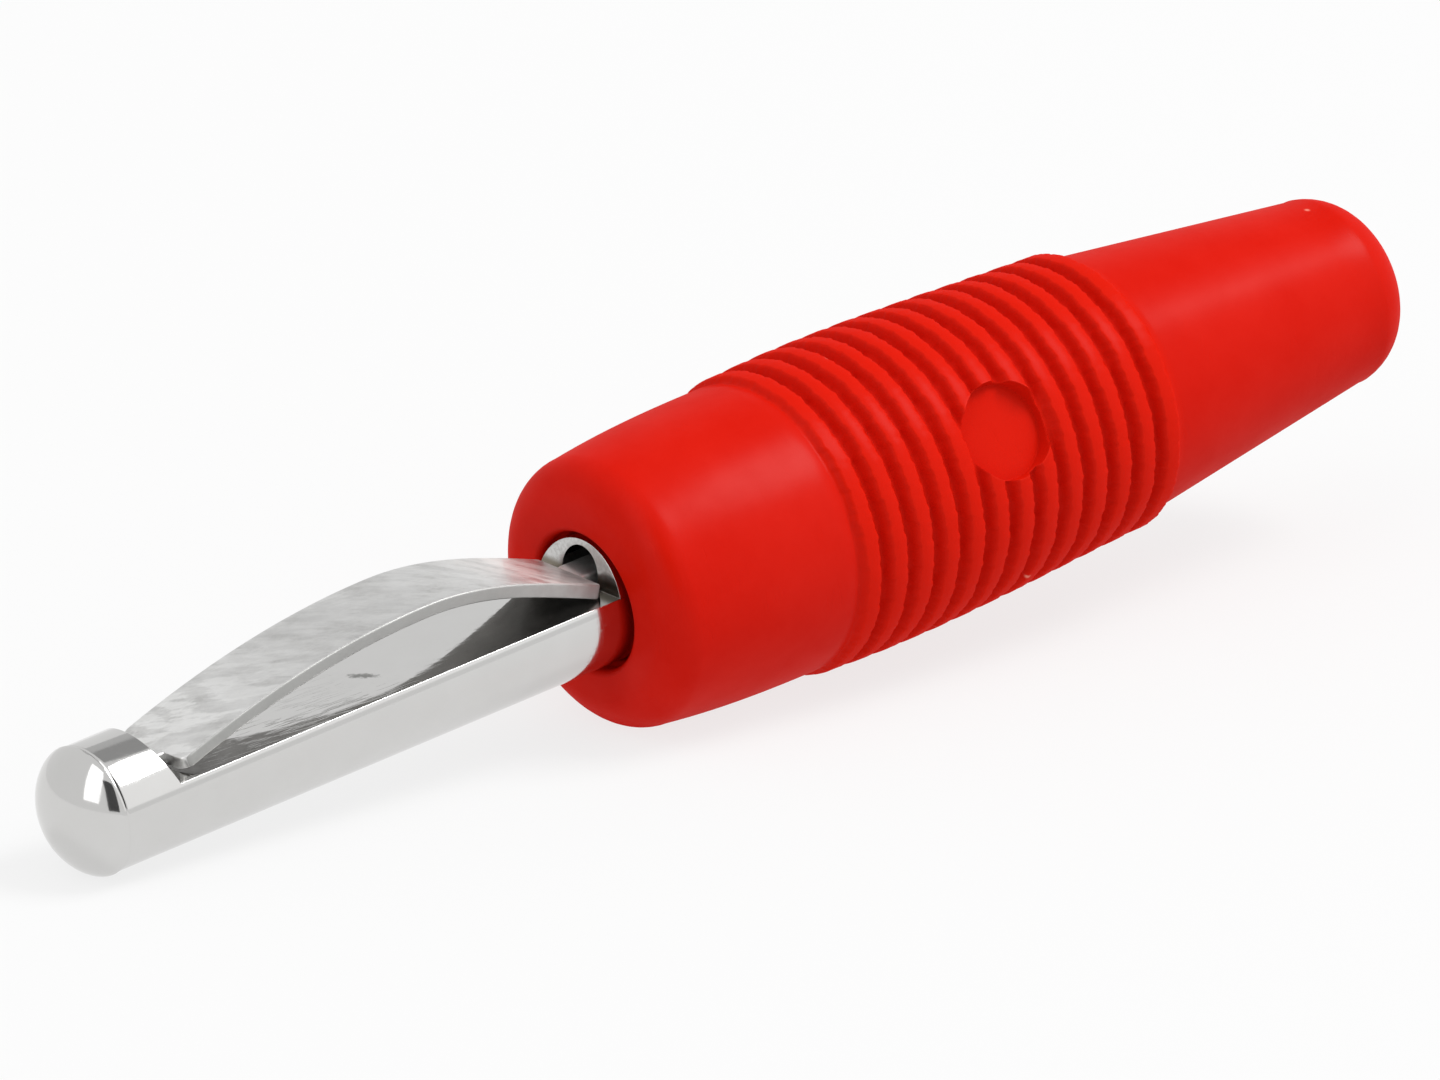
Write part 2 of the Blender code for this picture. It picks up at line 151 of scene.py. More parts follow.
def revolve(name, profile, steps, wave):
    # closed profile (x, r) moved by wave(x, r, a) and turned round the axis: y = r cos a, z = r sin a
    a = spread(0, 2 * np.pi, steps, withEnd=False)[None, :]
    x = np.repeat(profile[:, :1], steps, 1)
    r = np.repeat(profile[:, 1:2], steps, 1)
    x, r = wave(x, r, a)
    grid = np.stack([x, r * np.cos(a), r * np.sin(a)], -1)
    return surface(name, grid, closeRows=True)


def carve(piece, cutters, operation="DIFFERENCE"):
    # takes the cutters out of the piece, or joins them to it, once and for all, and removes them
    for cutter in cutters:
        cut = piece.modifiers.new("carve", "BOOLEAN")
        cut.operation = operation
        cut.solver = "EXACT"
        cut.object = cutter
    seen = piece.evaluated_get(bpy.context.evaluated_depsgraph_get())
    result = bpy.data.meshes.new_from_object(seen)
    piece.modifiers.clear()
    piece.data = result
    for cutter in cutters:
        bpy.data.objects.remove(cutter)


def dress(piece, body, node, slot, sharpDegrees):
    # smooth shading with sharp edges, its material, the body it rides on and the node it stands for
    mesh = piece.data
    areas = np.empty(len(mesh.polygons))
    mesh.polygons.foreach_get("area", areas)
    mesh.polygons.foreach_set("use_smooth", areas < largestSmooth)
    mesh.set_sharp_from_angle(angle=np.radians(sharpDegrees))
    mesh.materials.clear()
    mesh.materials.append(finishes[slot])
    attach(piece, body)
    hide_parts(node)
    mesh.calc_loop_triangles()
    print(piece.name, "made,", len(mesh.loop_triangles), "triangles")


# Node helpers

def addNode(tree, kind, inputs=None, **settings):
    # a shader node with its settings, each input given as a value or as a socket to link
    node = tree.nodes.new("ShaderNode" + kind)
    for name, value in settings.items():
        setattr(node, name, value)
    for name, value in (inputs or {}).items():
        if isinstance(value, bpy.types.NodeSocket):
            tree.links.new(value, node.inputs[name])
        else:
            node.inputs[name].default_value = value
    return node


def maths(tree, operation, a, b=0.0, clamp=False):
    return addNode(tree, "Math", {0: a, 1: b}, operation=operation, use_clamp=clamp).outputs[0]


def times(tree, a, b):
    return maths(tree, "MULTIPLY", a, b)


def remap(tree, value, fromLow, fromHigh, toLow, toHigh):
    inputs = {0: value, 1: fromLow, 2: fromHigh, 3: toLow, 4: toHigh}
    return addNode(tree, "MapRange", inputs, interpolation_type="LINEAR").outputs[0]


def between(tree, value, pair):
    # from the pair's first value to its second, while the pattern goes from 0.2 to 0.8
    return remap(tree, value, 0.2, 0.8, *pair)


def fade(tree, value, start, end, low=0.0, high=1.0):
    # low before the start, high after the end, and smooth between
    inputs = {0: value, 1: start, 2: end, 3: low, 4: high}
    return addNode(tree, "MapRange", inputs, interpolation_type="SMOOTHSTEP").outputs[0]


def average(tree, a, b):
    return times(tree, maths(tree, "ADD", a, b), 0.5)


def mixColour(tree, factor, a, b):
    return addNode(tree, "Mix", {0: factor, 6: a, 7: b}, data_type="RGBA").outputs[2]


def mixValue(tree, factor, a, b):
    return addNode(tree, "Mix", {0: factor, 2: a, 3: b}, data_type="FLOAT").outputs[0]


def split(tree, place):
    # the X, Y and Z of a place
    return addNode(tree, "SeparateXYZ", {0: place}).outputs


def stretch(tree, place, factors):
    return addNode(tree, "VectorMath", {0: place, 1: factors}, operation="MULTIPLY").outputs[0]


def rotate(tree, place, angle, centre=(0.0, 0.0, 0.0)):
    # the place turned about the upright through the centre
    inputs = {"Vector": place, "Angle": angle, "Center": centre}
    return addNode(tree, "VectorRotate", inputs, rotation_type="Z_AXIS").outputs[0]


def noise(tree, place, scale, detail=2.0, roughness=0.5):
    inputs = {"Vector": place, "Scale": scale, "Detail": detail, "Roughness": roughness}
    return addNode(tree, "TexNoise", inputs).outputs[0]


def newGroup(name, inputs, output):
    # a shader node group with its named sockets. An input with a number is a value, the others are vectors
    tree = bpy.data.node_groups.new(name, "ShaderNodeTree")
    for socketName, value in inputs.items():
        kind = "NodeSocketFloat" if isinstance(value, float) else "NodeSocketVector"
        socket = tree.interface.new_socket(socketName, in_out="INPUT", socket_type=kind)
        if value is not None:
            socket.default_value = value
    tree.interface.new_socket(output, in_out="OUTPUT", socket_type="NodeSocketFloat")
    return tree, tree.nodes.new("NodeGroupInput").outputs, tree.nodes.new("NodeGroupOutput").inputs


def useGroup(tree, group, inputs):
    # the first output of a group
    return addNode(tree, "Group", inputs, node_tree=group).outputs[0]


def mottleGroup():
    # slow blotches: layered noise stretched by a contrast about its middle
    tree, given, result = newGroup("mottle", {"Vector": None, "Scale": 1.0, "Contrast": 1.0}, "Value")
    layered = noise(tree, given["Vector"], given["Scale"], 6.0, 0.6)
    wide = times(tree, maths(tree, "SUBTRACT", layered, 0.5), given["Contrast"])
    tree.links.new(maths(tree, "ADD", wide, 0.5, clamp=True), result["Value"])
    return tree


def scratchGroup():
    # fine scratches: the thin bands where a long, stretched noise passes its middle value
    inputs = {
        "Vector": None, "Scale": 1.0, "Stretch": (0.12, 1.0, 1.0),
        "Angle": 0.0, "Width": 0.02, "Coverage": 0.5,
    }
    tree, given, result = newGroup("scratches", inputs, "Mask")
    drawn = stretch(tree, rotate(tree, given["Vector"], given["Angle"]), given["Stretch"])
    bands = noise(tree, drawn, given["Scale"], 3.0)
    away = maths(tree, "ABSOLUTE", maths(tree, "SUBTRACT", bands, 0.5))
    line = maths(tree, "SUBTRACT", 1.0, maths(tree, "DIVIDE", away, given["Width"]), clamp=True)
    low = maths(tree, "SUBTRACT", 0.75, times(tree, given["Coverage"], 0.5))
    kept = fade(tree, noise(tree, given["Vector"], 0.9), low, maths(tree, "ADD", low, 0.15))
    tree.links.new(times(tree, line, kept), result["Mask"])
    return tree


def dustGroup():
    # sparse specks: the middles of a few random cells
    inputs = {"Vector": None, "Scale": 1.0, "Share": 0.05, "Size": 0.12}
    tree, given, result = newGroup("dustSpecks", inputs, "Mask")
    cells = addNode(tree, "TexVoronoi", {"Vector": given["Vector"], "Scale": given["Scale"]}).outputs
    chance = addNode(tree, "SeparateColor", {0: cells["Color"]}).outputs[0]
    picked = maths(tree, "LESS_THAN", chance, given["Share"])
    spot = fade(tree, cells["Distance"], given["Size"], 0.0)
    tree.links.new(times(tree, picked, spot), result["Mask"])
    return tree


def edgeWearGroup():
    # worn edges: how far the rounded normal leans away from the surface's own
    tree, given, result = newGroup("edgeWear", {"Radius": 0.00005, "Gain": 3.0}, "Mask")
    rounded = addNode(tree, "Bevel", {"Radius": given["Radius"]}, samples=4)
    both = {0: rounded.outputs[0], 1: addNode(tree, "NewGeometry").outputs["Normal"]}
    same = addNode(tree, "VectorMath", both, operation="DOT_PRODUCT").outputs["Value"]
    lean = maths(tree, "SUBTRACT", 1.0, same)
    tree.links.new(maths(tree, "MULTIPLY", lean, given["Gain"], clamp=True), result["Mask"])
    return tree


def creviceShadeGroup():
    # grooves and inner corners: how much of the near surroundings is hidden, a mask for painted shade
    tree, given, result = newGroup("creviceShade", {"Distance": 0.0005, "Gain": 1.5}, "Mask")
    seen = addNode(tree, "AmbientOcclusion", {"Distance": given["Distance"]}, samples=4).outputs["AO"]
    hidden = maths(tree, "SUBTRACT", 1.0, seen)
    tree.links.new(maths(tree, "MULTIPLY", hidden, given["Gain"], clamp=True), result["Mask"])
    return tree


mottle = mottleGroup()
creviceShade = creviceShadeGroup()
scratches = scratchGroup()
dustSpecks = dustGroup()
edgeWear = edgeWearGroup()


def mottled(tree, place, scale, contrast):
    return useGroup(tree, mottle, {"Vector": place, "Scale": scale, "Contrast": contrast})


def newMaterial(name, values):
    # a material with its shader, and the plug's own millimetres as its pattern's place
    material = bpy.data.materials.new(name)
    material.use_nodes = True
    tree = material.node_tree
    shader = tree.nodes["Principled BSDF"]
    for socketName, value in values.items():
        shader.inputs[socketName].default_value = value
    place = addNode(tree, "TexCoord")
    toPlug = addNode(tree, "Mapping", {"Vector": place.outputs["Object"]}, vector_type="TEXTURE")
    toPlug.inputs["Location"].default_value = tip
    toPlug.inputs["Rotation"].default_value = (0.0, -plugTilt, 0.0)
    toPlug.inputs["Scale"].default_value = (mm, mm, mm)
    return material, tree, shader, toPlug.outputs[0]


def facing(tree, direction):
    # 1 where the surface faces a direction, -1 where it faces away
    normal = addNode(tree, "TexCoord").outputs["Normal"]
    both = {0: normal, 1: tuple(direction)}
    return addNode(tree, "VectorMath", both, operation="DOT_PRODUCT").outputs["Value"]


def roundedEdges(tree, radiusMm):
    # the normal that the edges would have if they were rounded by a radius
    return addNode(tree, "Bevel", {"Radius": radiusMm * mm}, samples=4).outputs[0]


def addBump(tree, height, distanceMm, normal=None):
    inputs = {"Height": height, "Distance": distanceMm * mm, "Strength": 1.0}
    if normal is not None:
        inputs["Normal"] = normal
    return addNode(tree, "Bump", inputs).outputs[0]


# Scales are in patterns for each millimetre. A pair named for a pattern is its scale and contrast
plasticLook = {
    "colour": (0.568, 0.0088, 0.0026, 1.0),
    "deepColour": (0.515, 0.0064, 0.0018, 1.0),
    # painted shade in the grooves and inner corners
    "grooveColour": (0.47, 0.0010, 0.0002, 1.0),
    # a painted highlight: the ribs a little brighter, for their lit crests
    "ribLightColour": (0.572, 0.0096, 0.0030, 1.0),
    "wornColour": (0.72, 0.024, 0.012, 1.0),
    "dustColour": (0.80, 0.30, 0.22, 1.0),
    "blotches": (0.35, 1.6),
    "grain": (9.0, 1.2),
    "waves": (1.1, 1.0),
    "specks": {"Scale": 1.1, "Share": 0.05, "Size": 0.15},
    "scuffs": {"Scale": 1.7, "Stretch": (0.6, 0.25, 0.25)},
    "groove": (0.6, 0.38),  # mm of the painted groove shade's reach, and its gain
    "shelter": 2.4,  # how much a groove keeps gloss and wear away
    "wear": (0.09, 10.0),  # mm of the worn edges' radius, and their gain
    "ribbed": (27.0, 27.6, 40.1, 40.7),  # mm where the ribs' painted highlight colour begins, is full, fades and ends
    "skin": (0.11, 0.18),  # weight of the glossy skin
    "ribSkin": 0.5,  # share of it on the ribs
    "skinRoughness": 0.30,
    "roughness": (0.42, 0.56),
    "grainDepth": 0.006,  # mm
    "wobbleDepth": 0.02,  # mm, of the moulding's slow waves
    "scratchDepth": 0.004,
}


def redPlastic():
    # blotches, ribs painted brighter as a highlight for their lit crests, worn edges, painted shade in the
    # grooves and specks under a thin glossy skin
    look = plasticLook
    values = {"Specular IOR Level": 0.0, "Coat IOR": 1.42, "Coat Roughness": look["skinRoughness"]}
    material, tree, shader, place = newMaterial("red_plastic", values)
    blotch = mottled(tree, place, *look["blotches"])
    fine = mottled(tree, place, *look["grain"])
    slow = mottled(tree, place, *look["waves"])
    speck = useGroup(tree, dustSpecks, {"Vector": place, **look["specks"]})
    scuff = useGroup(tree, scratches, {"Vector": place, **look["scuffs"]})
    reach, gain = look["groove"]
    groove = useGroup(tree, creviceShade, {"Distance": reach * mm, "Gain": gain})
    outside = maths(tree, "SUBTRACT", 1.0, times(tree, groove, look["shelter"]), clamp=True)
    radius, gain = look["wear"]
    worn = useGroup(tree, edgeWear, {"Radius": radius * mm, "Gain": gain})
    worn = times(tree, times(tree, worn, outside), fine)
    x = split(tree, place)["X"]
    begins, full, fades, over = look["ribbed"]
    ribbed = times(tree, fade(tree, x, begins, full), fade(tree, x, fades, over, 1.0, 0.0))
    colour = mixColour(tree, blotch, look["deepColour"], look["colour"])
    # painted highlight: the ribs brighter, for their lit crests
    colour = mixColour(tree, ribbed, colour, look["ribLightColour"])
    colour = mixColour(tree, worn, colour, look["wornColour"])
    # painted shade: darker red where the near surroundings are hidden
    colour = mixColour(tree, groove, colour, look["grooveColour"])
    colour = mixColour(tree, speck, colour, look["dustColour"])
    tree.links.new(colour, shader.inputs["Base Color"])
    skin = between(tree, blotch, look["skin"])
    skin = times(tree, skin, remap(tree, ribbed, 0.0, 1.0, 1.0, look["ribSkin"]))
    tree.links.new(times(tree, skin, outside), shader.inputs["Coat Weight"])
    rough = between(tree, average(tree, fine, blotch), look["roughness"])
    tree.links.new(rough, shader.inputs["Roughness"])
    waves = addBump(tree, slow, look["wobbleDepth"])
    scored = addBump(tree, maths(tree, "SUBTRACT", 1.0, scuff), look["scratchDepth"], waves)
    tree.links.new(addBump(tree, fine, look["grainDepth"], scored), shader.inputs["Normal"])
    return material


nickelLook = {
    "colour": (0.645, 0.641, 0.632, 1.0),
    "smudgeColour": (0.50, 0.49, 0.47, 1.0),
    "smudge": 0.18,  # share of the smudges in the colour
    "haze": (0.8, 1.6),
    "ragged": (8.0, 2.0),  # edge of the mark, and spots of the wall
    "roughness": (0.055, 0.11),
    "flatRoughness": (0.03, 0.06),
    "hairlines": {"Scale": 3.0, "Stretch": (0.5, 1.0, 1.0)},
    "hairlineRoughness": 0.10,
    "scores": {"Scale": 5.0, "Stretch": (0.10, 1.0, 1.0), "Angle": 0.12, "Width": 0.05, "Coverage": 0.9},
    "scoresFade": (8.0, 13.0, 1.0, 0.15),  # mm where they fade, their strength before and after
    "scoreRoughness": 0.22,
    "scoreDepth": 0.0015,  # mm
    "flat": (0.68, 3.3, 20.4),  # mm: height of the milled flat, its ends
    "flatMargin": 0.012,  # mm
    "edge": 0.015,  # mm, rounding of the cut edges
    "rings": (14.0, 0.15, 0.15),  # the turning marks' scale along and across the pin
    "ringDepth": 0.0008,  # mm
    "stain": (11.74, -0.14, 0.66, 0.24),  # mm: place of a small mark on the flat, its half length and width
    "stainTurn": 51.0,  # degrees, of the mark's length from the pin's
    "stainEdge": (1.3, 0.5),  # the oval's sum where the mark ends and is full
    "stainColour": (0.22, 0.22, 0.21, 1.0),
    "darkerByWall": (19.7, 20.1, 0.0, 0.9),  # mm where the flat's darker strip before the wall begins and is full, its share
    "wallFrom": 20.0,  # mm along the pin, before the shank's front wall
    # painted reflection: the shank's front wall darker, for the dark bore and leaf it mirrors
    "wallShadeColour": (0.40, 0.395, 0.38, 1.0),
    "wallFootShade": (1.2, 0.95),  # mm over the axis, where the painted shade of the leaf on the wall's foot begins and is full
    # painted shade that the leaf casts on the wall's foot
    "wallFootShadeColour": (0.20, 0.175, 0.14, 1.0),
    "wallRoughness": 0.26,
}


def flatMask(tree, parts):
    # 1 on the milled flat, 0 elsewhere
    height, front, back = nickelLook["flat"]
    off = maths(tree, "ABSOLUTE", maths(tree, "SUBTRACT", parts["Z"], height))
    level = maths(tree, "LESS_THAN", off, nickelLook["flatMargin"])
    afterFront = maths(tree, "GREATER_THAN", parts["X"], front)
    beforeBack = maths(tree, "LESS_THAN", parts["X"], back)
    return times(tree, level, times(tree, afterFront, beforeBack))


def stainMask(tree, place, ragged):
    # an oval with a ragged edge: (x/length)^2 + (y/width)^2 + noise, in the mark's own directions
    x, y, length, width = nickelLook["stain"]
    angle = float(np.radians(nickelLook["stainTurn"]))
    parts = split(tree, rotate(tree, place, angle, (x, y, 0.0)))
    offX = maths(tree, "DIVIDE", maths(tree, "SUBTRACT", parts["X"], x), length)
    offY = maths(tree, "DIVIDE", maths(tree, "SUBTRACT", parts["Y"], y), width)
    away = maths(tree, "ADD", times(tree, offX, offX), times(tree, offY, offY))
    return fade(tree, maths(tree, "ADD", away, ragged), *nickelLook["stainEdge"])


def nickelPlate():
    # a turned pin with a brighter scored flat, a mark on it and a darker strip before the wall, and the
    # shank's dull front wall, its darkness a painted reflection, with painted shade at its foot
    look = nickelLook
    material, tree, shader, place = newMaterial("nickel_plate", {"Metallic": 1.0})
    parts = split(tree, place)
    flat = flatMask(tree, parts)
    haze = mottled(tree, place, *look["haze"])
    ragged = mottled(tree, place, *look["ragged"])
    line = useGroup(tree, scratches, {"Vector": place, **look["hairlines"]})
    darkerByWall = fade(tree, parts["X"], *look["darkerByWall"])
    # a small mark on the flat, and the flat darker just before the shank's wall
    stain = times(tree, maths(tree, "MAXIMUM", stainMask(tree, place, ragged), darkerByWall), flat)
    facesTip = maths(tree, "GREATER_THAN", facing(tree, -along), 0.9)
    wall = times(tree, facesTip, maths(tree, "GREATER_THAN", parts["X"], look["wallFrom"]))
    # painted shade that the leaf casts on the lower wall
    footShade = times(tree, wall, fade(tree, parts["Z"], *look["wallFootShade"]))
    colour = mixColour(tree, times(tree, haze, look["smudge"]), look["colour"], look["smudgeColour"])
    colour = mixColour(tree, stain, colour, look["stainColour"])
    # painted dark reflection on the shank's front wall; its roughness below is its own
    colour = mixColour(tree, times(tree, wall, ragged), colour, look["wallShadeColour"])
    colour = mixColour(tree, footShade, colour, look["wallFootShadeColour"])
    tree.links.new(colour, shader.inputs["Base Color"])
    # the flat is scored lengthwise, mostly at its front
    scored = useGroup(tree, scratches, {"Vector": place, **look["scores"]})
    scored = times(tree, scored, fade(tree, parts["X"], *look["scoresFade"]))
    lathed = between(tree, haze, look["roughness"])
    lathed = maths(tree, "ADD", lathed, times(tree, line, look["hairlineRoughness"]))
    milled = between(tree, haze, look["flatRoughness"])
    milled = maths(tree, "ADD", milled, times(tree, scored, look["scoreRoughness"]))
    rough = mixValue(tree, flat, lathed, milled)
    rough = mixValue(tree, wall, rough, look["wallRoughness"])
    tree.links.new(rough, shader.inputs["Roughness"])
    rings = noise(tree, stretch(tree, place, look["rings"]), 1.0, 3.0)
    rings = times(tree, rings, maths(tree, "SUBTRACT", 1.0, flat))
    ringed = addBump(tree, rings, look["ringDepth"], roundedEdges(tree, look["edge"]))
    cut = addBump(tree, times(tree, scored, flat), look["scoreDepth"], ringed)
    tree.links.new(cut, shader.inputs["Normal"])
    return material


springLook = {
    "colour": (0.66, 0.658, 0.65, 1.0),
    "dullColour": (0.48, 0.475, 0.465, 1.0),
    "streakColour": (0.93, 0.93, 0.92, 1.0),
    "filmColour": (0.74, 0.70, 0.67, 1.0),
    "shearedColour": (0.40, 0.40, 0.39, 1.0),
    # painted shade on the strip's underside
    "underShadeColour": (0.20, 0.195, 0.185, 1.0),
    "haze": (0.85, 3.8),
    "grain": (7.0, 1.6),
    "waves": (0.9, 1.0),
    "dull": 0.8,  # share of the dull blotches in the colour
    "patches": (2.4, 6.0, 0.30),  # scale, contrast and share of the streaky patches
    "lines": {"Scale": 2.2, "Width": 0.03, "Coverage": 0.5, "Angle": 0.3},
    "lineShare": 0.3,
    "rubbed": (1.9, 9.0, 0.8),  # scale, contrast and share of the rubbed dashes
    "rubbedTurn": 0.9,  # radians, from the strip's length to the dashes
    "rubbedStretch": (0.28, 1.0, 1.0),
    "rubbedFade": (5.5, 10.0, 0.7, 0.15),  # mm where they fade, their strength before and after
    "film": (15.5, 18.5, 0.0, 0.50),  # mm where the matt film at the back begins and is full, its share
    "filmEnd": (19.7, 20.3, 1.0, 0.0),  # mm where it ends, on the tongue
    "sheared": 1.44,  # mm from the middle, where the strip's sheared edge begins
    "shearedRoughness": 0.16,
    "coat": {"Coat Weight": 0.2, "Coat Roughness": 0.12},
    "roughness": (0.34, 0.48),
    "edge": 0.03,  # mm
    "wobbleDepth": 0.022,  # mm
    "scoreDepth": 0.003,  # mm
}


def springSteel():
    # a hazy strip with rubbed dashes, sheared sides and painted shade on its underside
    look = springLook
    material, tree, shader, place = newMaterial("spring_steel", look["coat"])
    parts = split(tree, place)
    haze = mottled(tree, place, *look["haze"])
    grain = mottled(tree, place, *look["grain"])
    slow = mottled(tree, place, *look["waves"])
    line = useGroup(tree, scratches, {"Vector": place, **look["lines"]})
    # light rubbed dashes across the strip, most at its front, where a socket's rim meets it
    drawn = stretch(tree, rotate(tree, place, look["rubbedTurn"]), look["rubbedStretch"])
    patch = mottled(tree, drawn, *look["patches"][:2])
    rubbed = mottled(tree, drawn, *look["rubbed"][:2])
    rubbed = times(tree, times(tree, rubbed, rubbed), fade(tree, parts["X"], *look["rubbedFade"]))
    stain = times(tree, haze, remap(tree, grain, 0.2, 0.8, 0.5, 1.0))
    colour = mixColour(tree, times(tree, stain, look["dull"]), look["colour"], look["dullColour"])
    for mask, share in ((patch, look["patches"][2]), (line, look["lineShare"]), (rubbed, look["rubbed"][2])):
        colour = mixColour(tree, times(tree, mask, share), colour, look["streakColour"])
    # a matt film at the back
    film = times(tree, fade(tree, parts["X"], *look["film"]), remap(tree, patch, 0.0, 1.0, 0.5, 1.2))
    film = times(tree, film, fade(tree, parts["X"], *look["filmEnd"]))
    colour = mixColour(tree, film, colour, look["filmColour"])
    tree.links.new(maths(tree, "SUBTRACT", 1.0, film, clamp=True), shader.inputs["Metallic"])
    sheared = maths(tree, "GREATER_THAN", maths(tree, "ABSOLUTE", parts["Y"]), look["sheared"])
    colour = mixColour(tree, sheared, colour, look["shearedColour"])
    # painted shade on the faces that look down
    underShade = maths(tree, "LESS_THAN", facing(tree, up), -0.5)
    colour = mixColour(tree, underShade, colour, look["underShadeColour"])
    tree.links.new(colour, shader.inputs["Base Color"])
    rough = between(tree, average(tree, haze, grain), look["roughness"])
    rough = maths(tree, "ADD", rough, times(tree, sheared, look["shearedRoughness"]))
    tree.links.new(rough, shader.inputs["Roughness"])
    waved = addBump(tree, slow, look["wobbleDepth"], roundedEdges(tree, look["edge"]))
    tree.links.new(addBump(tree, line, look["scoreDepth"], waved), shader.inputs["Normal"])
    return material


zincLook = {
    "colour": (0.60, 0.62, 0.65, 1.0),
    "dullColour": (0.42, 0.43, 0.45, 1.0),
    "wornColour": (0.75, 0.75, 0.76, 1.0),
    "haze": (3.0, 1.8),
    "wear": (0.03, 3.0),  # mm of the worn edges' radius, and their gain
    "roughness": (0.25, 0.40),
}


def zincPlate():
    # a hazy plating, worn at its edges
    look = zincLook
    material, tree, shader, place = newMaterial("zinc_plate", {"Metallic": 1.0})
    haze = mottled(tree, place, *look["haze"])
    radius, gain = look["wear"]
    worn = useGroup(tree, edgeWear, {"Radius": radius * mm, "Gain": gain})
    colour = mixColour(tree, haze, look["dullColour"], look["colour"])
    tree.links.new(mixColour(tree, worn, colour, look["wornColour"]), shader.inputs["Base Color"])
    tree.links.new(between(tree, haze, look["roughness"]), shader.inputs["Roughness"])
    return material


finishes = {
    "red_plastic": redPlastic(),
    "nickel_plate": nickelPlate(),
    "spring_steel": springSteel(),
    "zinc_plate": zincPlate(),
}
print("materials made:", ", ".join(finishes))

# Insulating sleeve. Places are in millimetres from the plug's tip, radii from its axis
sleeve = {
    "steps": 360,
    "front": 20.34,
    "hole": 2.18,
    "holeRounding": 0.22,
    "holeDepth": 0.50,
    "noseRing": 3.08,  # radius of the ring that the nose's rounding is centred on
    "noseRounding": 1.2,
    "noseTurn": (180, 97),  # degrees where its arc begins and ends
    "arcRows": (14, 14, 7),  # of the nose, the cable end and the mouth
    "frontRows": 14,
    "tailRows": 10,
    "waist": (27.14, 4.56),
    "swell": (0.28, 2.5),  # fall of the smooth front from waist to nose, and its power
    "notch": 4.52,
    "ribs": 13,
    "pitch": 1.01,
    "firstCrest": 27.72,
    "crestHalf": 0.19,  # half of the flat part of a crest
    "flank": 0.30,  # width of a rib's rounded flank
    "flankRows": (1.0, 0.78, 0.56, 0.34, 0.14),  # places of its rows, as shares of its width
    "ribDepth": 0.35,
    "crests": (4.73, 4.775, 4.80, 4.80, 4.79, 4.765, 4.725, 4.68, 4.63, 4.575, 4.52, 4.47, 4.42),
    "unevenness": 0.034,  # of the ribs' edges, round the sleeve
    "crestShare": 0.15,  # of it in the crests' radius
    "edgeBand": (0.02, 0.47, 0.1),  # mm from a crest's middle: both ends of an uneven edge, and their fading
    "crestBand": (0.35, 0.2),  # mm from there: the end of an uneven crest, and its fading
    "wander": ((11, 0.35), (23, 0.35), (47, 0.40), (83, 0.40), (127, 0.25)),  # waves in a turn, their share
    "ribsFloor": 3.9,  # no point below this radius is uneven
    "tail": ((40.34, 4.145), (49.59, 2.955)),
    "endRing": (49.41, 1.19, 1.8),  # middle of the end's rounding, and its radius
    "cableHole": (1.15, 3.5),  # radius and length
    "hollow": (2.9, 4.6),  # radius, and length of its taper to the cable hole
    "stop": (31.35, 1.6, 1.0, 0.8),  # ring behind the shank: place, radius, length, length of its taper
    "grip": 2.05,
    "pad": (33.75, 152.4, 1.46, 4.06),  # middle, degrees round the axis, radius, height of its floor
    "padSteps": 96,
    "boss": (0.05, 3.6, 0.2),  # what the pad's boss has over its radius, its foot, its height over the floor
    "padLean": 0.22,  # spread of the pad's wall for its height
}


def sleeveOutside():
    # (x, r) from the mouth to the cable end: rounded nose, smooth front, ribs, cone and rounded end. The
    # front is r = waist r - fall * ((waist x - x) / length)^power
    waistX, waistR = sleeve["waist"]
    fall, power = sleeve["swell"]
    noseX = sleeve["front"] + sleeve["noseRounding"]
    noseRows, endRows = sleeve["arcRows"][:2]
    nose = arcPoints((noseX, sleeve["noseRing"]), sleeve["noseRounding"], *sleeve["noseTurn"], noseRows)
    x = spread(nose[-1, 0] + 0.15, waistX, sleeve["frontRows"])
    front = np.stack([x, waistR - fall * ((waistX - x) / (waistX - noseX)) ** power], 1)
    crests = np.array(sleeve["crests"])
    places = sleeve["firstCrest"] + sleeve["pitch"] * np.arange(sleeve["ribs"])
    half, edge = sleeve["crestHalf"], sleeve["crestHalf"] + sleeve["flank"]
    rise = half + (edge - half) * np.array(sleeve["flankRows"])
    steps = np.concatenate([-rise, [-half, 0.0, half], rise[::-1], [sleeve["pitch"] / 2]])
    x = (places[:, None] + steps[None, :]).ravel()[:-1]
    crest = np.interp(x, places, crests)
    nearest = np.abs(x[:, None] - places[None, :]).min(1)
    dip = 0.5 - 0.5 * np.cos(np.pi * np.clip((nearest - half) / sleeve["flank"], 0, 1))
    floor = crest - sleeve["ribDepth"]
    floor = np.where(x < places[0], sleeve["notch"], floor)
    floor = np.where(x > places[-1], sleeve["tail"][0][1], floor)
    ribs = np.stack([x, crest - (crest - floor) * dip], 1)
    (tailX, tailR), (endX, endR) = sleeve["tail"]
    x = spread(tailX + 0.2, endX, sleeve["tailRows"])
    tail = np.stack([x, tailR + (endR - tailR) * (x - tailX) / (endX - tailX)], 1)
    ringX, ringR, ringRounding = sleeve["endRing"]
    end = arcPoints((ringX, ringR), ringRounding, 80, 0, endRows)
    return np.concatenate([nose, front, ribs, tail, end])


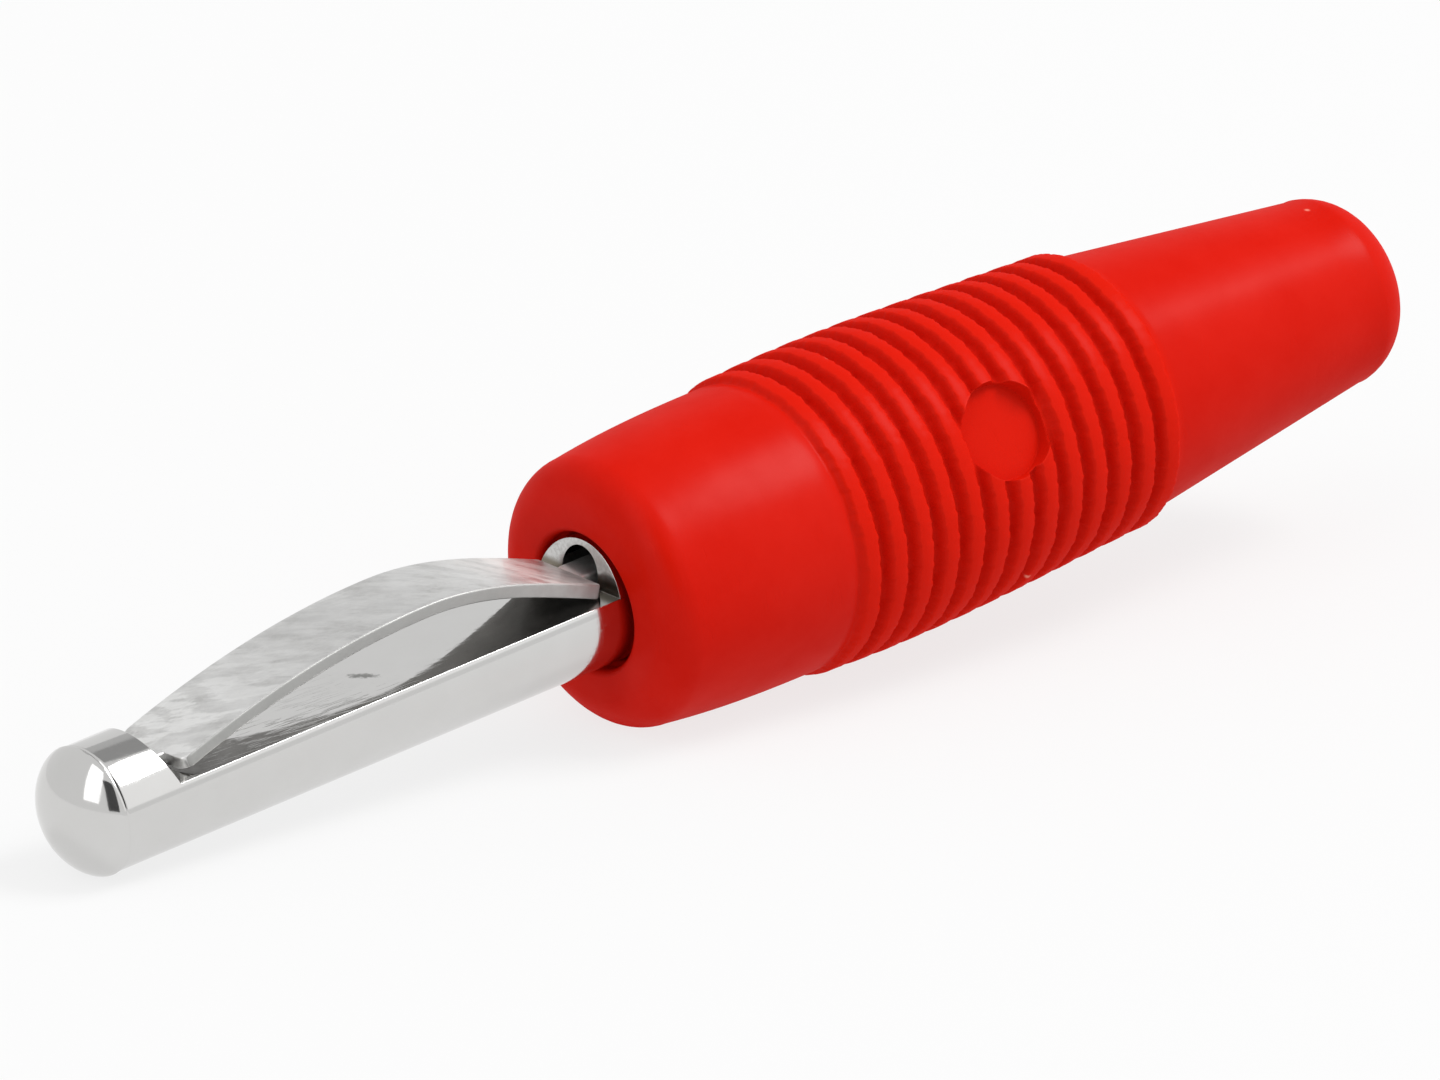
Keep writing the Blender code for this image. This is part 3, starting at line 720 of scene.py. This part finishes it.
def sleeveInside():
    # (x, r) back from the cable's hole through hollow and stop to the mouth's rounded edge
    backX = sum(sleeve["endRing"][::2])
    holeR, holeLength = sleeve["cableHole"]
    hollowR, taper = sleeve["hollow"]
    stopX, stopR, stopLength, stopTaper = sleeve["stop"]
    rounding, hole = sleeve["holeRounding"], sleeve["hole"]
    corners = [
        (backX, holeR + 0.02),
        (backX - 0.02, holeR),
        (backX - holeLength, holeR),
        (backX - holeLength - taper, hollowR),
        (stopX + stopLength + stopTaper, hollowR),
        (stopX + stopLength, stopR),
        (stopX, stopR),
        (stopX, sleeve["grip"]),
        (sleeve["front"] + sleeve["holeDepth"] + 0.15, sleeve["grip"]),
        (sleeve["front"] + sleeve["holeDepth"], hole),
        (sleeve["front"] + rounding, hole),
    ]
    pieces = [lineTo(a, b, 2) for a, b in zip(corners[:-1], corners[1:])]
    mouthRing = sleeve["front"] + rounding, hole + rounding
    mouth = arcPoints(mouthRing, rounding, 270, 180, sleeve["arcRows"][2])
    return np.concatenate([*pieces, mouth])


def sleeveWave(x, r, a):
    # ragged ribs: their edges wander by unevenness * a sum of sines of whole turns, with other phases on
    # each edge
    rib = np.round((x - sleeve["firstCrest"]) / sleeve["pitch"])
    offset = x - sleeve["firstCrest"] - rib * sleeve["pitch"]
    inRibs = smoothStep((r - sleeve["ribsFloor"]) * 5) * (x > sleeve["waist"][0]) * (x < sleeve["tail"][0][0])
    edgeNumber = 2 * rib + (offset > 0)
    uneven = 0.0
    for turns, share in sleeve["wander"]:
        # scattered phases: what a large sine has behind its decimal point
        phase = np.sin(edgeNumber * 12.9898 + turns * 78.233) * 43758.5453
        uneven = uneven + share * np.sin(turns * a + 2 * np.pi * (phase % 1.0))
    off = np.abs(offset)
    (nearEnd, farEnd, edgeFade), (crestEnd, crestFade) = sleeve["edgeBand"], sleeve["crestBand"]
    onEdge = smoothStep((off - nearEnd) / edgeFade) * smoothStep((farEnd - off) / edgeFade)
    onCrest = smoothStep((crestEnd - off) / crestFade)
    shift = sleeve["unevenness"] * uneven * inRibs
    return x + shift * onEdge, r + sleeve["crestShare"] * shift * onCrest


def padBar(name, radius, low, high, lean=0.0):
    # a round bar that stands out of the axis at the pad's place, between two heights: radius + lean * height
    middle, degrees = sleeve["pad"][:2]
    angle = np.radians(degrees)
    outward = np.array([0.0, np.cos(angle), np.sin(angle)])
    across = np.array([0.0, -np.sin(angle), np.cos(angle)])
    a = spread(0, 2 * np.pi, sleeve["padSteps"], withEnd=False)[None, :, None]
    heights = np.array([low, low, high, high])[:, None, None]
    radii = np.array([0.0, radius, radius + lean * (high - low), 0.0])[:, None, None]
    ring = np.cos(a) * np.array([1.0, 0, 0]) + np.sin(a) * across
    grid = np.array([middle, 0, 0]) + heights * outward + radii * ring
    return surface(name, grid)


outline = np.concatenate([sleeveInside(), sleeveOutside()])
insulatingSleeve = revolve("insulatingSleeve", outline, sleeve["steps"], sleeveWave)
padRadius, padFloor = sleeve["pad"][2:]
bossWider, bossFoot, bossHigher = sleeve["boss"]
carve(insulatingSleeve, [padBar("padBoss", padRadius + bossWider, bossFoot, padFloor + bossHigher)], "UNION")
carve(insulatingSleeve, [padBar("padCutter", padRadius, padFloor, padFloor + 1.0, sleeve["padLean"])])
dress(insulatingSleeve, "sleeve", "insulating_sleeve", "red_plastic", 50)

# Contact pin
pin = {
    "radius": 2.0,
    "dome": (1.22, 2.03, 1.5),  # height, radius of its foot, fullness
    # the groove behind the dome: its rings' distance from the dome's foot, and their radius
    "seam": ((0.015, 2.024), (0.05, 1.965), (0.09, 1.992), (0.12, 2.0)),
    "collarFront": 1.37,
    "collarBack": 3.37,
    "collarLean": 0.37,  # mm forward for each mm of height
    "flat": 0.68,
    "shankFront": 20.25,
    "shankLean": 0.164,  # mm back for each mm of height
    "shankBack": 31.05,
    "chamfer": 0.25,
    "wireBore": (1.1, 6.6, 0.6),  # radius, depth, and depth of the drill's point
    "rounding": 0.018,
    "tongueBore": (0.82, 1.0),  # radius, and height of its axis
    "boreRuns": ((1.87, 3.49), (20.13, 23.25)),
    "screwHole": (27.75, 1.05),  # place and radius
}


def flatSide(z):
    # z held under the flat with a small rounding: -k ln(exp(-z/k) + exp(-flat/k))
    k = pin["rounding"] / 2
    high = np.minimum(z, pin["flat"])
    return high - k * np.log(np.exp(-(z - high) / k) + np.exp(-(pin["flat"] - high) / k))


def corner(before, at, after, reach, count):
    # a bend from one leg to the next: quadratic curve with the corner as its middle point
    t = spread(0, 1, count)[:, None, None]
    towards = before - at
    away = after - at
    lengthIn = np.linalg.norm(towards, axis=-1, keepdims=True)
    lengthOut = np.linalg.norm(away, axis=-1, keepdims=True)
    step = np.minimum(reach, 0.4 * np.minimum(lengthIn, lengthOut))
    start = at + towards / np.maximum(lengthIn, 1e-9) * step
    end = at + away / np.maximum(lengthOut, 1e-9) * step
    return (1 - t) ** 2 * start + 2 * (1 - t) * t * at + t**2 * end


def pinGrid():
    # columns run round the pin, y = R cos a. Rows run tip to back: dome, seam, collar, its wall down to the
    # flat, the flat, the shank's wall up again, the shank, and in through the wire bore to its point
    radius = pin["radius"]
    edge = np.arcsin(pin["flat"] / radius)
    close = np.array([0.004, 0.01, 0.02, 0.035, 0.06])  # radians from the flat's edge
    near = edge + np.concatenate([-close[::-1], [0.0], close])
    angles = np.concatenate([
        near,
        spread(edge + 0.1, np.pi - edge - 0.1, 50),
        np.pi - near[::-1],
        spread(np.pi - edge + 0.1, 2 * np.pi + edge - 0.1, 96),
    ])
    cosA, sinA = np.cos(angles), np.sin(angles)

    def ring(x, r):
        # a row at one place along the pin, at one radius
        return np.stack([np.full_like(angles, x), r * cosA, r * sinA], 1)

    # the dome: (1 - x/height)^fullness + (r/foot)^2 = 1
    lipX, lipR, fullness = pin["dome"]
    turns = spread(0, np.pi / 2, 30)
    dome = [ring(lipX * (1 - np.cos(t) ** (2 / fullness)), lipR * np.sin(t)) for t in turns]
    seam = [ring(lipX + x, r) for x, r in pin["seam"]]
    # the path of each column past the flat
    topZ = radius * sinA
    lowZ = flatSide(topZ)
    drop = topZ - lowZ
    y = radius * cosA

    def at(x, z):
        # a row at the columns' own y
        return np.stack([x + 0 * y, y, z + 0 * y], 1)

    collarFront = at(pin["collarFront"], topZ)
    collarTop = at(pin["collarBack"] - pin["collarLean"] * drop, topZ)
    collarFoot = at(pin["collarBack"] + 0 * drop, lowZ)
    shankFoot = at(pin["shankFront"] + 0 * drop, lowZ)
    shankTop = at(pin["shankFront"] + pin["shankLean"] * drop, topZ)
    shankEnd = at(pin["shankBack"] - pin["chamfer"], topZ)
    bends = [
        corner(collarFront, collarTop, collarFoot, pin["rounding"], 6),
        corner(collarTop, collarFoot, shankFoot, pin["rounding"], 5),
        corner(collarFoot, shankFoot, shankTop, pin["rounding"], 5),
        corner(shankFoot, shankTop, shankEnd, pin["rounding"], 6),
    ]
    t = spread(0, 1, 30)[1:-1, None, None]
    spans = [(1 - t) * bends[i][-1] + t * bends[i + 1][0] for i in range(3)]
    few = slice(None, None, 7)
    shank = (1 - t) * bends[3][-1] + t * shankEnd
    path = [
        collarFront[None], bends[0], spans[0][few], bends[1], spans[1],
        bends[2], spans[2][few], bends[3], shank, shankEnd[None],
    ]
    boreR, boreDepth, borePoint = pin["wireBore"]
    back = pin["shankBack"]
    end = [ring(back, radius - pin["chamfer"]), ring(back, boreR + 0.05), ring(back - 0.05, boreR)]
    end += [ring(back - boreDepth, boreR), ring(back - boreDepth - borePoint, 0.0)]
    return np.concatenate([np.array(dome), np.array(seam), *path, np.array(end)])


def bar(name, start, end, radius, steps=64):
    # a round bar between two points, for cutting
    start, end = np.array(start, float), np.array(end, float)
    axis = (end - start) / np.linalg.norm(end - start)
    first = np.cross(axis, (0, 1, 0))
    second = np.cross(axis, first)
    a = spread(0, 2 * np.pi, steps, withEnd=False)[:, None]
    ring = np.cos(a) * first + np.sin(a) * second
    grid = np.stack([start + 0 * ring, start + radius * ring, end + radius * ring, end + 0 * ring])
    return surface(name, grid)


contactPin = surface("contactPin", pinGrid())
boreR, boreZ = pin["tongueBore"]
screwX, holeR = pin["screwHole"]
carve(contactPin, [
    bar("collarBore", (pin["boreRuns"][0][0], 0, boreZ), (pin["boreRuns"][0][1], 0, boreZ), boreR),
    bar("shankBore", (pin["boreRuns"][1][0], 0, boreZ), (pin["boreRuns"][1][1], 0, boreZ), boreR),
    bar("screwHole", (screwX, 0, 0), (screwX, 0, 3), holeR),
])
dress(contactPin, "pin", "contact_pin", "nickel_plate", 35)

# Leaf spring
leaf = {
    "width": 2.97,
    "thickness": 0.42,
    "edge": 0.07,  # rounding along the strip's edges
    "seat": 0.73,
    "crest": (13.40, 2.37),
    "front": (3.92, 0.33),  # place of the shoulders and slope of the rise
    "back": (19.80, 0.40),
    "thicker": (0.045, 15.5, 18.5),  # how much lower the underside is at the back, where it begins, is full
    "cornerRadius": (0.35, 0.14),  # of the front and the back shoulders
    "tongues": (2.27, 21.65),  # their ends
    "tongueHalf": 0.59,  # half of their width
    "rows": (8, 90, 70, 10),  # of the front tongue, rise, fall and back tongue
    "travel": 0.84,
}


def leafLine():
    # underside of the strip: tongue, cubic rise to the crest, cubic fall, tongue, as (x, z)
    frontX, frontSlope = leaf["front"]
    backX, backSlope = leaf["back"]
    crestX, crestZ = leaf["crest"]
    seat = leaf["seat"]
    rise, fall = (crestX - frontX) / 3, (backX - crestX) / 3
    front, crest, back = (frontX, seat), (crestX, crestZ), (backX, seat)
    afterFront, beforeCrest = (frontX + rise, seat + rise * frontSlope), (crestX - rise, crestZ)
    afterCrest, beforeBack = (crestX + fall, crestZ), (backX - fall, seat + fall * backSlope)
    frontRows, riseRows, fallRows, backRows = leaf["rows"]
    climb = bezier((front, afterFront, beforeCrest, crest), riseRows)
    descent = bezier((crest, afterCrest, beforeBack, back), fallRows)
    frontTongue = lineTo((leaf["tongues"][0], seat), front, frontRows)
    backTongue = lineTo((leaf["tongues"][1], seat), back, backRows)[::-1]
    return np.concatenate([frontTongue, climb, descent[1:], backTongue])


def leafGrid():
    # a rounded rectangle carried along the line: point = line + across*y + normal*height
    line = leafLine()
    frontX, backX = leaf["front"][0], leaf["back"][0]
    half = leaf["width"] / 2
    frontRadius, backRadius = leaf["cornerRadius"]
    turn = np.radians(spread(0, 90, 10))
    # stations: tongue, shoulder with its round corner, band, and the same at the back
    frontStations = frontX + frontRadius * (1 - np.cos(turn))
    backStations = backX - backRadius * (1 - np.cos(turn))
    frontCorner = half - frontRadius * (1 - np.sin(turn))
    backCorner = half - backRadius * (1 - np.sin(turn))
    lineX = line[:, 0]
    inBand = lineX[(lineX > frontX + frontRadius + 0.02) & (lineX < backX - backRadius - 0.02)]
    tongueFront = lineX[lineX < frontX]
    tongueBack = lineX[lineX > backX]
    stations = np.concatenate([
        tongueFront[:1], tongueFront, [frontX], frontStations, inBand,
        backStations[::-1], [backX], tongueBack, tongueBack[-1:],
    ])
    tongue = leaf["tongueHalf"]
    halves = np.concatenate([
        [0.0], np.full(len(tongueFront), tongue), [tongue], frontCorner, np.full(len(inBand), half),
        backCorner[::-1], [tongue], np.full(len(tongueBack), tongue), [0.0],
    ])
    z = np.interp(stations, lineX, line[:, 1])
    slope = np.gradient(line[:, 1], lineX)
    lean = np.arctan(np.interp(stations, lineX, slope))
    ends = halves == 0.0
    # ring of the section, from the top's one edge to the other, down and back along the underside
    edge, thick = leaf["edge"], leaf["thickness"]
    flatPart = spread(-1, 1, 14)
    bend = np.radians(spread(90, 0, 5))
    sinB, cosB, full = np.sin(bend), np.cos(bend), np.ones(len(bend))
    across = np.concatenate([flatPart, full, full, -flatPart, -full, -full])
    outward = np.concatenate([0 * flatPart, cosB, sinB, 0 * flatPart, -cosB, -sinB])
    high = np.concatenate([
        0 * flatPart + thick, thick - edge + edge * sinB, edge - edge * cosB,
        0 * flatPart, edge - edge * sinB, thick - edge + edge * cosB,
    ])
    y = np.where(ends[:, None], 0.0, across * (halves[:, None] - edge) + edge * outward)
    added, addedFrom, addedTo = leaf["thicker"]
    lower = added * smoothStep((stations - addedFrom) / (addedTo - addedFrom))[:, None]
    h = np.where(ends[:, None], thick / 2, high[None, :] - lower * (1 - high[None, :] / thick))
    x = stations[:, None] - np.sin(lean)[:, None] * h
    return np.stack([x, y, z[:, None] + np.cos(lean)[:, None] * h], -1)


leafSpring = surface("leafSpring", leafGrid())
dress(leafSpring, "leaf", "leaf_spring", "spring_steel", 35)
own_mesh(leafSpring)

# Clamp screw
screw = {
    "place": 27.75,
    "top": 1.80,
    "length": 1.45,
    "radius": 1.0,
    "pitch": 0.45,
    "threadDepth": 0.12,
    "chamfer": 0.15,
    "slot": (0.36, 0.5),  # width and depth
    "steps": 96,
    "rows": 60,
}


def screwGrid():
    # thread: r = R - depth * |saw(z/pitch - a/turn)|, faded out over the chamfer at both ends
    a = spread(0, 2 * np.pi, screw["steps"], withEnd=False)[None, :]
    z = spread(0, screw["length"], screw["rows"])[:, None]
    saw = np.abs(((z / screw["pitch"] - a / (2 * np.pi)) % 1.0) * 2 - 1)
    toEnd = np.minimum(z, screw["length"] - z)
    chamfer = np.minimum(0, toEnd - screw["chamfer"])
    r = np.minimum(screw["radius"] - screw["threadDepth"] * saw, screw["radius"] + chamfer)
    x = screw["place"] + r * np.cos(a)
    grid = np.stack([x, r * np.sin(a), screw["top"] - z + 0 * a], -1)
    head = 0 * grid[:1] + (screw["place"], 0, screw["top"])
    point = head - (0, 0, screw["length"])
    return np.concatenate([head, grid, point])


def slotCutter():
    # a square bar across the screw's head
    width, depth = screw["slot"]
    x = screw["place"] + np.array([-1, 1, 1, -1]) * width / 2
    z = screw["top"] + np.array([-depth, -depth, 0.5, 0.5])
    loop = np.stack([x, 0 * x, z], 1)
    middle = np.repeat(loop.mean(0)[None], 4, 0)
    reach = np.array([0, screw["radius"] + 0.3, 0])
    return surface("slotCutter", np.stack([middle - reach, loop - reach, loop + reach, middle + reach]))


clampScrew = surface("clampScrew", screwGrid())
carve(clampScrew, [slotCutter()])
dress(clampScrew, "screw", "clamp_screw", "zinc_plate", 35)

# Camera, from the photograph's perspective. Its axes and place are in the plug's own frame
photo = {
    "right": (0.76085, -0.6436, -0.08303),
    "down": (-0.31926, -0.25985, -0.91135),
    "forward": (0.56497, 0.7199, -0.40318),
    "place": (-423.06, -571.8, 320.4),
    "lens": 665.0,
}


def addCamera():
    # the camera's own axes are right, -down and -forward
    right, down, forward = (np.array(photo[name]) @ axes for name in ("right", "down", "forward"))
    data = bpy.data.cameras.new("camera")
    data.sensor_width = 36.0
    data.lens = photo["lens"]
    data.clip_start, data.clip_end = 0.05, 20.0
    camera = bpy.data.objects.new("camera", data)
    bpy.context.scene.collection.objects.link(camera)
    turn = Matrix([right, -down, -forward]).transposed()
    camera.matrix_world = Matrix.Translation(Vector(toRow(photo["place"]))) @ turn.to_4x4()
    bpy.context.scene.camera = camera
    print("camera", round((camera.location - Vector(tip)).length, 3), "m from the tip")


# Studio: a glowing white table in a white tent, a softbox at either side of the camera, and the dark
# camera between them. Directions are degrees round the plug, from its cable end towards its far side,
# and above the table
studio = {
    "world": 0.86,
    "floorHalf": 3.0,  # metres
    "floorColour": 0.14,
    "floorGlow": 0.78,
    # name: azimuth, elevation, distance in metres, width, height, radiance over the tent behind it
    "softboxes": {
        "leftSoftbox": (-166.0, 49.0, 0.90, 0.45, 1.12, 0.95),
        "keySoftbox": (-30.0, 49.0, 0.90, 0.42, 0.37, 10.8),
        "rightSoftbox": (-56.0, 30.0, 0.95, 0.80, 0.95, 0.30),
    },
    # name: azimuth, elevation, distance in metres, width, height, grey
    "darkCards": {
        "cameraCard": (-121.0, 32.0, 1.00, 0.52, 0.92, 0.08),
        "gapCard": (38.0, 45.0, 1.30, 0.95, 0.80, 0.61),
        "innerCard": (25.0, 51.0, 1.20, 0.52, 0.34, 0.41),
    },
}


def towards(azimuth, elevation):
    # unit vector in the row's frame, from angles in the plug's own frame
    turn, rise = np.radians(azimuth), np.radians(elevation)
    return np.array([np.cos(rise) * np.cos(turn), np.cos(rise) * np.sin(turn), np.sin(rise)]) @ axes


def plainMaterial(name, grey, glow=0.0):
    material = bpy.data.materials.new(name)
    material.use_nodes = True
    shader = material.node_tree.nodes["Principled BSDF"]
    shader.inputs["Base Color"].default_value = (grey, grey, grey, 1.0)
    shader.inputs["Roughness"].default_value = 0.9
    shader.inputs["Specular IOR Level"].default_value = 0.0
    shader.inputs["Emission Color"].default_value = (1.0, 1.0, 1.0, 1.0)
    shader.inputs["Emission Strength"].default_value = glow
    return material


def addSheet(name, corners, material):
    # one flat stage piece
    mesh = bpy.data.meshes.new(name)
    mesh.from_pydata([tuple(place) for place in corners], [], [(0, 1, 2, 3)])
    mesh.materials.append(material)
    sheet = bpy.data.objects.new(name, mesh)
    bpy.context.scene.collection.objects.link(sheet)
    return sheet


def addStudio():
    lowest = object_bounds()[0].z
    half = studio["floorHalf"]
    table = [(-half, -half, lowest), (half, -half, lowest), (half, half, lowest), (-half, half, lowest)]
    addSheet("floor", table, plainMaterial("pale_floor", studio["floorColour"], studio["floorGlow"]))
    world = bpy.data.worlds.new("studio")
    world.use_nodes = True
    world.node_tree.nodes["Background"].inputs["Color"].default_value = (1.0, 1.0, 1.0, 1.0)
    world.node_tree.nodes["Background"].inputs["Strength"].default_value = studio["world"]
    bpy.context.scene.world = world
    for name, (azimuth, elevation, distance, width, height, radiance) in studio["softboxes"].items():
        light = bpy.data.lights.new(name, "AREA")
        light.shape = "RECTANGLE"
        light.size, light.size_y = width, height
        light.energy = radiance * np.pi * width * height
        lamp = bpy.data.objects.new(name, light)
        bpy.context.scene.collection.objects.link(lamp)
        lamp.location = towards(azimuth, elevation) * distance
        lamp.rotation_euler = (-lamp.location).to_track_quat("-Z", "Y").to_euler()
    for name, (azimuth, elevation, distance, width, height, grey) in studio["darkCards"].items():
        out = towards(azimuth, elevation)
        across = np.cross(out, (0, 0, 1))
        across = across / np.linalg.norm(across) * width / 2
        high = np.cross(across, out)
        high = high / np.linalg.norm(high) * height / 2
        middle = out * distance
        lower, upper = middle - high, middle + high
        corners = [lower - across, lower + across, upper + across, upper - across]
        card = addSheet(name, corners, plainMaterial(name, grey))
        card.visible_camera = False  # another view's camera may stand behind it
    bpy.context.scene.view_settings.view_transform = "Standard"
    print("floor,", len(studio["softboxes"]), "softboxes and", len(studio["darkCards"]), "cards made")


addCamera()
addStudio()
